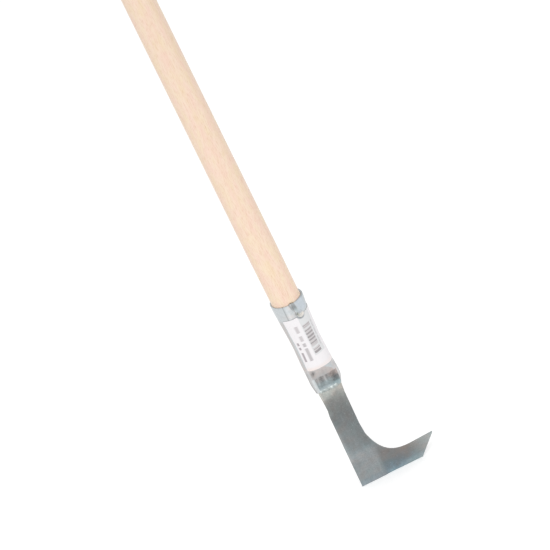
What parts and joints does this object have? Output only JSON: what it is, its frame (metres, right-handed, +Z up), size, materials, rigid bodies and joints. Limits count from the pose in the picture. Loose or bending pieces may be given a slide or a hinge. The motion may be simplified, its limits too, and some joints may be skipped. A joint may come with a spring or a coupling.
{
  "type": "patio knife",
  "caption": "Long-handled patio knife: an L-shaped ground steel blade for clearing joints between slabs, welded into a rolled sheet socket on a round ash handle.",
  "frame": {"origin": "middle of the blade's flat bottom edge, straight under the handle's axis", "axes": "+Z up the handle's axis, +X the way the hook points, -Y out of the ground face"},
  "size_m": [0.0812, 0.0316, 1.536],
  "materials": {
    "ash_wood": "turned and sanded ash, bare, with a fine straight grain along the handle",
    "zinc_plated_sheet": "bright zinc plated mild steel sheet, smooth, with faint rolling marks",
    "ground_spring_steel": "carbon steel plate, zinc plated over its grinding marks, hollow ground at the hook",
    "weld_metal": "rippled weld bead under the plating",
    "yellow_zinc_screw": "yellow zinc plated wood screw",
    "label_paper": null
  },
  "bodies": {
    "root": {"handle": "ash_wood", "socket": "zinc_plated_sheet", "blade": "ground_spring_steel", "weld_front": "weld_metal", "weld_back": "weld_metal", "socket_screw": "yellow_zinc_screw", "label": "label_paper"}
  },
  "joints": []
}
